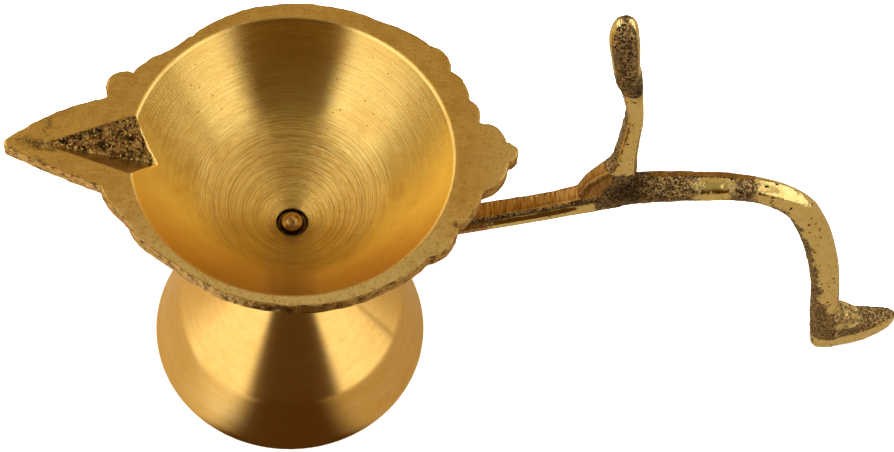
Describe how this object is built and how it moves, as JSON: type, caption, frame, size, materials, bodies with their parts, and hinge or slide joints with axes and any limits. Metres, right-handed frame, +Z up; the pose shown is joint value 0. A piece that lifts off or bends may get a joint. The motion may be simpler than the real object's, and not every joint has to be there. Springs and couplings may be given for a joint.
{
  "type": "hand-held wick lamp",
  "caption": "Brass hand-held wick lamp: a conical oil bowl with a leaf-shaped rim and wick spout, on a hollow bell foot, with a cast handle that ends in a leg.",
  "frame": {"origin": "on the surface the lamp stands on, under the middle of its bounding box", "axes": "+X along the handle away from the bowl, so the wick spout points to -X; +Z up; +Y completes the right-handed frame"},
  "size_m": [0.1866, 0.0659, 0.1187],
  "materials": {
    "turned_brass": "turned and polished, satin",
    "cast_brass": "sand cast, filed on the flats, dark in the rough places",
    "stud_brass": "turned, slightly tarnished"
  },
  "bodies": {
    "root": {"bowl": "turned_brass", "foot": "turned_brass", "handle": "cast_brass", "stud": "stud_brass", "washer": "stud_brass", "nut": "stud_brass"}
  },
  "joints": []
}
